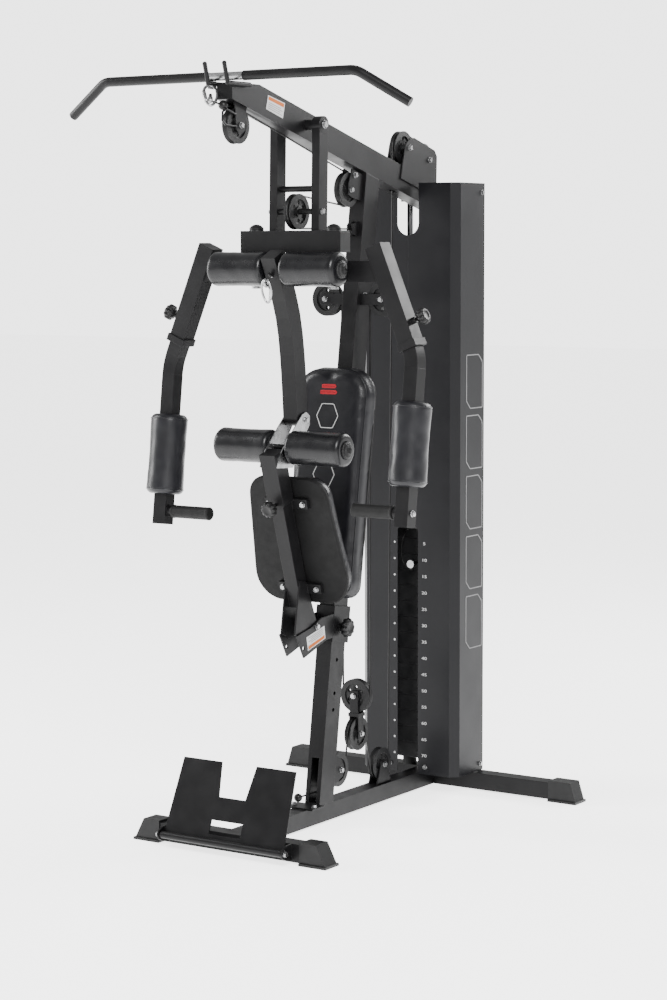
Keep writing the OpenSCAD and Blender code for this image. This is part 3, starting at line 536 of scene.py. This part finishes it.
def pad_mesh(name, slab, loop, thick, edge, shrink):
    """Closed pad of one outline: square at the back, rounded at the face."""
    rings = [(shrink + 0.004, shrink), (shrink, shrink + 0.004)]
    for k in range(7):
        a = math.pi / 2 * k / 6
        rings.append((shrink + edge * (1 - math.cos(a)), thick - shrink - edge + edge * math.sin(a)))
    verts, faces, n = [], [], len(loop)
    for gap, w in rings:
        verts += [slab.point(p.x, p.y, w) for p in inset(loop, gap)]
    for i in range(len(rings) - 1):
        for k in range(n):
            m = (k + 1) % n
            faces.append((i * n + k, i * n + m, (i + 1) * n + m, (i + 1) * n + k))
    faces.append(tuple(range(n - 1, -1, -1)))
    faces.append(tuple(range((len(rings) - 1) * n, len(rings) * n)))
    return mesh_of(name, verts, faces)


def plain_mesh(thing):
    """The object's shape with its modifiers, as a mesh of its own."""
    graph = bpy.context.evaluated_depsgraph_get()
    graph.update()
    return bpy.data.meshes.new_from_object(thing.evaluated_get(graph))


def swell(thing, slab, cap, voxel, thick):
    """Remesh, inflate with cloth, cap the swelling and keep the back flat; leaves a plain mesh."""
    remesh = thing.modifiers.new("remesh", "REMESH")
    remesh.mode = "VOXEL"
    remesh.voxel_size = voxel
    mesh = plain_mesh(thing)
    thing.modifiers.clear()
    thing.data = mesh
    start = [v.co.copy() for v in mesh.vertices]
    cloth = thing.modifiers.new("cloth", "CLOTH")
    cloth.settings.use_pressure = True
    cloth.settings.uniform_pressure_force = 4.0
    cloth.settings.effector_weights.gravity = 0.0
    cloth.settings.quality = 4
    cloth.collision_settings.use_collision = False
    for number in range(1, 21):
        scene.frame_set(number)
    blown = [v.co.copy() for v in plain_mesh(thing).vertices]
    thing.modifiers.clear()
    scene.frame_set(1)
    for vertex, a, b in zip(mesh.vertices, start, blown):
        height = slab.w.dot(a - slab.origin) / thick
        keep = min(max((height - 0.12) / 0.3, 0.0), 1.0)
        move = (b - a) * keep
        if move.length > cap:
            move = move.normalized() * cap
        vertex.co = a + move
    mesh.update()


def finish_mesh(thing, levels=1, rounds=6):
    soften = thing.modifiers.new("soften", "SMOOTH")
    soften.factor = 0.5
    soften.iterations = rounds
    if levels:
        split = thing.modifiers.new("split", "SUBSURF")
        split.levels = levels
        split.render_levels = levels
    mesh = plain_mesh(thing)
    thing.modifiers.clear()
    thing.data = mesh
    for face in mesh.polygons:
        face.use_smooth = True


def tree_of(thing):
    shape = bmesh.new()
    shape.from_mesh(thing.data)
    tree = BVHTree.FromBMesh(shape)
    shape.free()
    return tree


def seam(name, tree, slab, loop, gap, w, radius, shader, body, slot):
    """Round cord laid on a cushion's surface along its outline."""
    path = []
    for p in inset(loop, gap):
        near = tree.find_nearest(slab.point(p.x, p.y, w))
        path.append(near[0] + near[1] * radius * 0.25)
    return piece(name, tube_mesh(name, path, radius, closed=True, sides=8), shader, body, slot)


def stitches(name, tree, slab, loop, gap, w, shader, body, slot, length=0.0042):
    """Short thread stitches, one after the other, along an inset of the outline."""
    verts, faces = [], []
    spots = resample(inset(loop, gap), 0.0065)
    for i, p in enumerate(spots):
        q = spots[(i + 1) % len(spots)]
        near = tree.find_nearest(slab.point(p.x, p.y, w))
        along = (slab.u * (q - p).x + slab.v * (q - p).y).normalized()
        along = (along - near[1] * along.dot(near[1])).normalized()
        across = near[1].cross(along)
        base = len(verts)
        for t, size in ((-0.5, 0.35), (-0.2, 1.0), (0.2, 1.0), (0.5, 0.35)):
            for k in range(6):
                a = math.tau * k / 6
                verts.append(near[0] + along * length * t + size * 0.00055
                             * (across * math.cos(a) + near[1] * (math.sin(a) + 0.3)))
        for r in range(3):
            for k in range(6):
                m = (k + 1) % 6
                faces.append((base + r * 6 + k, base + r * 6 + m, base + r * 6 + 6 + m, base + r * 6 + 6 + k))
        faces.append(tuple(base + k for k in range(5, -1, -1)))
        faces.append(tuple(base + 18 + k for k in range(6)))
    return piece(name, mesh_of(name, verts, faces), shader, body, slot)


def ribbon(name, loops, width, place, shader, body, slot, lift=0.0004):
    """Closed printed outlines, each of an even width, laid by place(u, v, lift)."""
    verts, faces = [], []
    for loop in loops:
        dots = resample(loop, 0.006)
        rings = [inset(dots, -width / 2), inset(dots, width / 2)]
        base, n = len(verts), len(dots)
        for ring in rings:
            for height in (0.0, lift):
                verts += [place(p.x, p.y, height) for p in ring]
        order = [0, 1, 3, 2]
        for a, b in zip(order, order[1:] + order[:1]):
            for k in range(n):
                m = (k + 1) % n
                faces.append((base + a * n + k, base + a * n + m, base + b * n + m, base + b * n + k))
    mesh = mesh_of(name, verts, faces)
    tidy = bmesh.new()
    tidy.from_mesh(mesh)
    bmesh.ops.recalc_face_normals(tidy, faces=tidy.faces)
    tidy.to_mesh(mesh)
    tidy.free()
    return piece(name, mesh, shader, body, slot, smooth=False)


def make_cushion(name, node, slab, circles, thick, edge, cap):
    """Cloth-blown pad with a piping cord and a row of stitches; also gives its surface and outline."""
    body, slot = body_slot(node)
    loop = resample(hull_outline(circles), 0.012)
    room = cap * 0.55          # left for the swelling, so that the finished pad keeps its outline
    shell = pad_mesh(name, slab, loop, thick, edge, room)
    thing = piece(name, shell, MAT["vinyl"], body, slot)
    swell(thing, slab, cap, 0.006, thick)
    finish_mesh(thing)
    tree = tree_of(thing)
    gap = room + edge * 0.35
    seam(name + "_piping", tree, slab, loop, gap, thick - edge * 0.3, 0.0017, MAT["vinyl"], body, slot)
    stitches(name + "_stitches", tree, slab, loop, gap + 0.007, thick, thread, body, slot)
    return thing, tree, loop


def make_backrest():
    low, high = (Vector(c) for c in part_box("backrest_pad"))
    width = high.x - low.x
    up = Vector((0, math.sin(BACK_LEAN), math.cos(BACK_LEAN)))
    out = Vector((0, -math.cos(BACK_LEAN), math.sin(BACK_LEAN)))
    thick = 0.055
    height = (high.z - low.z - thick * math.sin(BACK_LEAN)) / math.cos(BACK_LEAN)
    foot = Vector((0, low.y, low.z)) - out * thick
    slab = Slab(foot, up, out)
    half, top, base = width / 2, 0.092, 0.050
    circles = [(s * (half - top), height - top, top) for s in (-1, 1)]
    circles += [(s * (half - base - 0.012), base + 0.012, base) for s in (-1, 1)]
    pad, tree, loop = make_cushion("backrest_cushion", "backrest_pad", slab, circles, thick, 0.022, 0.009)
    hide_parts("backrest_pad")
    plate = pad_mesh("backrest_board", slab, inset(loop, 0.010), 0.012, 0.003, 0.0)
    body, slot = body_slot("backrest_pad")
    piece("backrest_board", plate, board, body, slot, smooth=False)
    marks = [hexagon(0, height - 0.150 - 0.083 * k, 0.036, 0.034) for k in range(4)]

    def place(u, v, lift):
        start = slab.point(u, v, thick + 0.05)
        hit = tree.ray_cast(start, -slab.w, 0.2)
        return hit[0] + slab.w * (lift + 0.0001)

    ribbon("backrest_print", marks, 0.0022, place, white_print, body, slot)
    accent = [bar_shape(0, height - 0.083 + 0.017 * k, 0.026 - 0.004 * k, 0.0032) for k in range(2)]
    ribbon("backrest_accent", accent, 0.0052, place, red_print, body, slot)


def hexagon(u, v, wide, tall):
    """Outline of a long hexagon about (u, v)."""
    points = [(-wide, 0), (-wide * 0.55, -tall), (wide * 0.55, -tall), (wide, 0), (wide * 0.55, tall),
              (-wide * 0.55, tall)]
    return [Vector((u + a, v + b)) for a, b in points]


def bar_shape(u, v, wide, tall):
    return [Vector((u - wide, v - tall)), Vector((u + wide, v - tall)), Vector((u + wide, v + tall)),
            Vector((u - wide, v + tall))]


def make_seat():
    body, slot = body_slot("seat_pad")
    at = Vector((0, 0.273 - FRONT_Y, 0.915))
    up = Vector((0, -math.sin(SEAT_LEAN), math.cos(SEAT_LEAN)))
    inward = Vector((0, math.cos(SEAT_LEAN), math.sin(SEAT_LEAN)))
    circles = [(s * 0.069, 0.030, 0.066) for s in (-1, 1)] + [(s * 0.077, -0.203, 0.082) for s in (-1, 1)]
    face = Slab(at + inward * 0.0121, up, inward)
    pad, _, loop = make_cushion("seat_cushion", "seat_pad", face, circles, 0.0379, 0.016, 0.008)
    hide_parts("seat_pad")
    plate = pad_mesh("seat_board", Slab(at, up, inward), inset(loop, 0.004), 0.0125, 0.003, 0.0)
    piece("seat_board", plate, board, body, slot, smooth=False)


make_backrest()
make_seat()


# ---------- foam rollers, arm pads, grips and knobs ----------

def end_plug(name, line, t, way, body, slot, size=0.026):
    """Ribbed plastic plug in the end of a roller, with a raised ring and a domed middle."""
    steps = [(-0.004, size), (0.002, size), (0.005, size * 0.96), (0.0065, size * 0.86),
             (0.0065, size * 0.74), (0.010, size * 0.70), (0.0125, size * 0.56), (0.0125, size * 0.36),
             (0.015, size * 0.28), (0.016, 0.002)]
    profile = [(t + way * d, r) for d, r in steps]
    if way < 0:
        profile.reverse()
    low, high = min(p[0] for p in profile), max(p[0] for p in profile)
    lathe(name, line, profile, MAT["plastic"], body, slot, sides=72, ribs=(18, 0.0022, low, high))


def make_rollers():
    for node in ("seat_roller_left", "seat_roller_right", "leg_roller_left", "leg_roller_right"):
        body, slot = body_slot(node)
        line = Line(node, X)
        outer = 1 if line.at.x > 0 else -1
        radius = (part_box(node)[1][2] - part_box(node)[0][2]) / 2
        shape = rounded(line.low, line.high, radius - 0.0006, 0.013, 0.022, 0.022, waist=0.0012)
        skin = lathe(node + "_foam", line, shape, MAT["foam"], body, slot, ripple=0.0007, wrinkle=38)
        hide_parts(node)
        far = line.high if outer > 0 else line.low
        near = line.low if outer > 0 else line.high
        end_plug(node + "_plug", line, far, outer, body, slot)
        end_plug(node + "_inner_plug", line, near + outer * 0.0115, -outer, body, slot, 0.022)


ARM_PAD_RADIUS = 0.054
SEAM_TURN = math.radians(250)    # turns the pads' long seam to their rear side


def make_arm_pads():
    for side in ("left", "right"):
        node = "arm_pad_" + side
        body, slot = body_slot(node)
        line = Line(node, towards=-Z)
        radius = ARM_PAD_RADIUS
        shape = rounded(line.low, line.high, radius - 0.001, 0.017, 0.030, 0.030, fill=40, waist=0.0018)
        skin = lathe(node + "_cushion", line, shape, MAT["vinyl"], body, slot, sides=96, ripple=0.0012,
                     wrinkle=30)
        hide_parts(node)
        for tag, t in (("top", line.low + 0.013), ("foot", line.high - 0.013)):
            ring = [line.point(t, radius - 0.0013, math.tau * k / 72) for k in range(72)]
            mesh = tube_mesh(node + tag, ring, 0.0016, closed=True, sides=8)
            piece(f"{node}_{tag}_seam", mesh, MAT["vinyl"], body, slot)
        first, length = line.low + 0.018, line.high - line.low - 0.036
        seam_line = [line.point(first + length * k / 30, radius - 0.0012, SEAM_TURN) for k in range(31)]
        piece(node + "_side_seam", tube_mesh(node + "_side", seam_line, 0.0011, sides=8), thread, body, slot)
        make_grip(side, line)


GRIP_UP = 0.038           # the handle's axis above the lower end of its tube


def make_grip(side, pad_line):
    """Ribbed rubber grip over the short handle under an arm pad."""
    node = "handle_tube_" + side
    body, slot = body_slot(node)
    down = pad_line.dir
    deepest = max(down.dot(v.co - pad_line.at) for v in frame["nodes"][node].data.vertices)
    inward = (X - down * X.dot(down)).normalized() * (1 if side == "left" else -1)

    handle = Spindle(pad_line.at + down * (deepest - GRIP_UP), inward, -down)
    start, end = 0.036, 0.1655
    profile = [(start, 0.0162), (start, 0.0186), (start + 0.003, 0.0196), (start + 0.006, 0.0186)]
    count = 26
    for k in range(count):
        t = start + 0.008 + (end - start - 0.016) * k / count
        profile += [(t, 0.0176), (t + 0.0016, 0.0183), (t + 0.0032, 0.0176)]
    profile += [(end - 0.006, 0.0186), (end - 0.002, 0.0188), (end, 0.0170), (end + 0.001, 0.010),
                (end + 0.001, 0.001)]
    lathe(node + "_grip", handle, profile, MAT["rubber"], body, slot, sides=48)
    wall = -0.0211             # the tube's outer face, along the handle's axis
    bolt = [(wall - 0.0082, 0.001), (wall - 0.0082, 0.0070), (wall - 0.0076, 0.0078), (wall - 0.0022, 0.0078),
            (wall - 0.0022, 0.001)]
    washer = [(wall - 0.0023, 0.001), (wall - 0.0023, 0.0084), (wall - 0.0019, 0.0089),
              (wall + 0.0004, 0.0089), (wall + 0.0004, 0.001)]
    lathe(node + "_bolt", handle, bolt, bright, body, "chrome", sides=6)
    lathe(node + "_washer", handle, washer, bright, body, "chrome", sides=32)


def make_knobs():
    """Fluted heads on the pull knobs, over the plain ones of the frame."""
    for joint in frame["record"]["behaviour"]["joints"]:
        node = joint["child"]
        if "knob" not in node:
            continue
        body, slot = body_slot(node)
        line = Line(node, joint["axis"])
        radius = max((v.co - line.at - line.dir * line.dir.dot(v.co - line.at)).length
                     for v in frame["nodes"][node].data.vertices)
        low, high = line.low, line.high
        neck, depth = radius * 0.55, min(0.022, (high - low) * 0.55)
        head_low, pin = high - depth, 0.0045
        profile = [(low, pin), (head_low - 0.006, pin), (head_low - 0.006, neck * 0.8), (head_low, neck),
                   (head_low + 0.003, radius * 0.93), (head_low + 0.007, radius),
                   (high - 0.006, radius), (high - 0.002, radius * 0.9), (high, radius * 0.72),
                   (high, radius * 0.5), (high - 0.0012, radius * 0.42), (high - 0.0012, 0.001)]
        head = lathe(node + "_head", line, profile, MAT["plastic"], body, slot, sides=120,
                     ribs=(10, radius * 0.2, head_low + 0.0025, high - 0.0015))
        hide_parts(node)


make_rollers()
make_arm_pads()
make_knobs()


# ---------- hooks, caps and prints ----------

def make_carabiner(name, top, down, side, length, body, slot):
    """Snap hook: a pear-shaped wire loop with a gate and its sleeve."""
    wide, points = length * 0.24, []
    for k in range(40):
        a = math.tau * k / 40
        swell_by = 1.0 + 0.22 * math.cos(a)
        fallen = length / 2 * (1 - math.cos(a))
        points.append(top + down * fallen + side * wide * swell_by * math.sin(a))
    piece(name, tube_mesh(name, points, length * 0.052, closed=True, sides=12), bright, body, slot)
    gate = [points[8] + (points[15] - points[8]) * k / 6 for k in range(7)]
    piece(name + "_gate", tube_mesh(name + "_gate", gate, length * 0.07, sides=12), bright, body, slot)


HOOK_TURN = math.radians(50)    # turns the lat bar's hook clear of the rod that the bar rests on


def make_hooks():
    """The snap hook between lat bar and cable, which stays with the cable, and the leg developer's own."""
    lug = Vector((-0.046, -0.018 - FRONT_Y, 2.060))
    end = Vector((-0.024, -0.049 - FRONT_Y, 2.020))
    way = (end - lug).normalized()
    broad = Matrix.Rotation(HOOK_TURN, 3, way) @ way.cross(X).normalized()
    make_carabiner("lat_carabiner", lug - way * 0.001, way, broad, 0.074, "frame", "chrome")
    ring = Vector((0, 0.164 - FRONT_Y, 1.548))
    down = Vector((0, 0.16, -1)).normalized()
    make_carabiner("leg_carabiner", ring, down, X, 0.062, "leg", "chrome")
    profile = [(-0.004, 0.001), (-0.004, 0.005), (0, 0.0065), (0.010, 0.0065), (0.013, 0.0045),
               (0.022, 0.0045), (0.024, 0.001)]
    lathe("lat_swivel", Spindle(end, -way), profile, bright, "frame", "chrome", sides=24)


def card(name, corners, shader, body, slot, lift, thick=0.00035):
    """Thin printed card on corners given in order, raised by lift along its own normal."""
    normal = (corners[1] - corners[0]).cross(corners[2] - corners[1]).normalized()
    verts = [c + normal * lift for c in corners] + [c + normal * (lift + thick) for c in corners]
    faces = [(3, 2, 1, 0), (4, 5, 6, 7)]
    faces += [(k, (k + 1) % 4, (k + 1) % 4 + 4, k + 4) for k in range(4)]
    return piece(name, mesh_of(name, verts, faces), shader, body, slot, smooth=False)


def make_label(name, corners, body, slot):
    """White card with an orange head band and rows of plain grey bars where small print would be."""
    a, b, c, d = corners

    def at(u, v):
        return (a * (1 - u) + b * u) * (1 - v) + (d * (1 - u) + c * u) * v

    card(name, corners, white_print, body, slot, 0.0002)
    card(name + "_band", [at(0.04, 0.70), at(0.96, 0.70), at(0.96, 0.94), at(0.04, 0.94)], orange_print, body,
         slot, 0.0006)
    for row in range(4):
        low = 0.12 + 0.13 * row
        high, far = low + 0.05, 0.92 - 0.12 * (row % 2)
        bar = [at(0.08, low), at(far, low), at(far, high), at(0.08, high)]
        card(f"{name}_line_{row}", bar, grey_print, body, slot, 0.0006)


def make_labels():
    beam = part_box("top_beam")[1][0]
    spots = [(0.135, 2.005), (0.213, 1.983), (0.224, 2.024), (0.145, 2.042)]
    make_label("beam_label", [Vector((beam, y - FRONT_Y, z)) for y, z in spots], "frame", "plastic")
    ear = 0.0307
    spots = [(0.317, 0.512), (0.404, 0.536), (0.399, 0.572), (0.309, 0.551)]
    turned = spots[2:] + spots[:2]
    make_label("carrier_label", [Vector((ear, y - FRONT_Y, z)) for y, z in turned], "carrier", "plastic")


SCALE_TOP, SCALE_STEP, SCALE_COUNT = 0.756, 0.0494, 14
NUMBERS_X, DOTS_X = 0.058, -0.046    # middles of the two columns


def make_scale():
    """Plate numbers to the right of the slot and a dot for each on its left."""
    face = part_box("shroud_right")[0][1]
    numbers = bmesh.new()
    dots = bmesh.new()
    upright = Matrix.Rotation(math.pi / 2, 4, "X")
    for k in range(SCALE_COUNT):
        z = SCALE_TOP - SCALE_STEP * k
        curve = bpy.data.curves.new(f"number_{k}", "FONT")
        curve.body = str(5 * (k + 1))
        curve.size, curve.extrude = 0.0125, 0.0002
        curve.align_x, curve.align_y = "CENTER", "CENTER"
        text = bpy.data.objects.new(f"number_{k}", curve)
        scene.collection.objects.link(text)
        mesh = plain_mesh(text)
        at_number = Matrix.Translation((NUMBERS_X, face - 0.0003, z))
        mesh.transform(at_number @ upright @ Matrix.Diagonal((1.5, 1, 1, 1)))
        numbers.from_mesh(mesh)
        bpy.data.objects.remove(text)
        at_dot = Matrix.Translation((DOTS_X, face - 0.0003, z))
        bmesh.ops.create_cone(dots, cap_ends=True, segments=20, radius1=0.0032, radius2=0.0030, depth=0.0008,
                              matrix=at_dot @ upright)
    prints = (("stack_numbers", numbers, "shroud_right"), ("stack_dots", dots, "shroud_left"))
    for name, shape, node in prints:
        mesh = bpy.data.meshes.new(name)
        shape.to_mesh(mesh)
        shape.free()
        body, slot = body_slot(node)
        piece(name, mesh, white_print, body, slot, smooth=False)


def make_shroud_print():
    """Column of plain outlined bars on the tower's right side."""
    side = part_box("shroud_right")[1][0]
    body, slot = body_slot("shroud_right")

    def place(u, v, lift):
        return Vector((side + lift + 0.0001, u, v))

    low, tall, gap, middle, half = 0.440, 0.158, 0.022, 1.000 - FRONT_Y, 0.046
    loops = []
    for k in range(5):
        z = low + (tall + gap) * k
        loops.append([Vector((middle - half, z + 0.022)), Vector((middle - half + 0.022, z)),
                      Vector((middle + half, z)), Vector((middle + half, z + tall - 0.022)),
                      Vector((middle + half - 0.022, z + tall)), Vector((middle - half, z + tall))])
    ribbon("shroud_print", loops, 0.0030, place, grey_print, body, slot)


def make_end_caps():
    """Plastic plugs in the open ends of the press arm's box channel."""
    arm_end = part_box("press_arm")[1][0]
    inner_y, inner_z = (-0.2225, -0.1725), (1.625, 1.679)
    for s in (-1, 1):
        x = s * arm_end
        shape = bmesh.new()
        bmesh.ops.create_cube(shape, size=1.0, matrix=Matrix.Translation(
            (x - s * 0.001, sum(inner_y) / 2, sum(inner_z) / 2))
            @ Matrix.Diagonal((0.006, inner_y[1] - inner_y[0], inner_z[1] - inner_z[0], 1)))
        bmesh.ops.bevel(shape, geom=shape.edges[:], offset=0.0016, segments=3, affect="EDGES")
        mesh = bpy.data.meshes.new(f"press_cap_{s}")
        shape.to_mesh(mesh)
        shape.free()
        piece("press_cap_right" if s > 0 else "press_cap_left", mesh, MAT["plastic"], "press_arm", "plastic",
              smooth=False)


make_hooks()
make_labels()
make_scale()
make_shroud_print()
make_end_caps()


# ---------- floor and light ----------

def area_light(name, at, aim, size, power):
    data = bpy.data.lights.new(name, "AREA")
    data.shape = "RECTANGLE"
    data.size, data.size_y = size
    data.energy = power
    lamp = bpy.data.objects.new(name, data)
    lamp.location = at
    lamp.rotation_euler = (Vector(aim) - Vector(at)).to_track_quat("-Z", "Y").to_euler()
    scene.collection.objects.link(lamp)


def make_stage():
    s = Shader("studio_floor")
    s.join(s.ramp(s.noise(0.7), (0.86, 0.86, 0.86), (0.89, 0.89, 0.89)), s.bsdf.inputs["Base Color"])
    s.join(s.ramp(s.noise(3), 0.5, 0.62), s.bsdf.inputs["Roughness"])
    s.bsdf.inputs["Emission Color"].default_value = (1, 1, 1, 1)
    s.bsdf.inputs["Emission Strength"].default_value = 2.6
    reach = 30
    mesh = mesh_of("floor", [(-reach, -reach, 0), (reach, -reach, 0), (reach, reach, 0), (-reach, reach, 0)],
                   [(0, 1, 2, 3)])
    floor = piece("floor", mesh, s, None, None, smooth=False)
    world = bpy.data.worlds.new("studio")
    scene.world = world
    world.use_nodes = True
    tree = world.node_tree
    fill = tree.nodes["Background"]
    fill.inputs["Color"].default_value = (1, 1, 1, 1)
    fill.inputs["Strength"].default_value = 0.7
    seen = tree.nodes.new("ShaderNodeBackground")
    seen.inputs["Color"].default_value = (1, 1, 1, 1)
    seen.inputs["Strength"].default_value = 3.4
    mix = tree.nodes.new("ShaderNodeMixShader")
    tree.links.new(tree.nodes.new("ShaderNodeLightPath").outputs["Is Camera Ray"], mix.inputs["Fac"])
    tree.links.new(fill.outputs[0], mix.inputs[1])
    tree.links.new(seen.outputs[0], mix.inputs[2])
    tree.links.new(mix.outputs[0], tree.nodes["World Output"].inputs["Surface"])
    area_light("key", (3.2, -3.4, 4.2), (0, 0, 1.1), (2.2, 2.2), 420)
    area_light("left", (-4.0, -1.5, 2.6), (0, 0, 1.1), (1.6, 3.2), 260)
    area_light("back", (1.5, 4.2, 3.4), (0, 0, 1.2), (2.5, 2.0), 240)


make_stage()
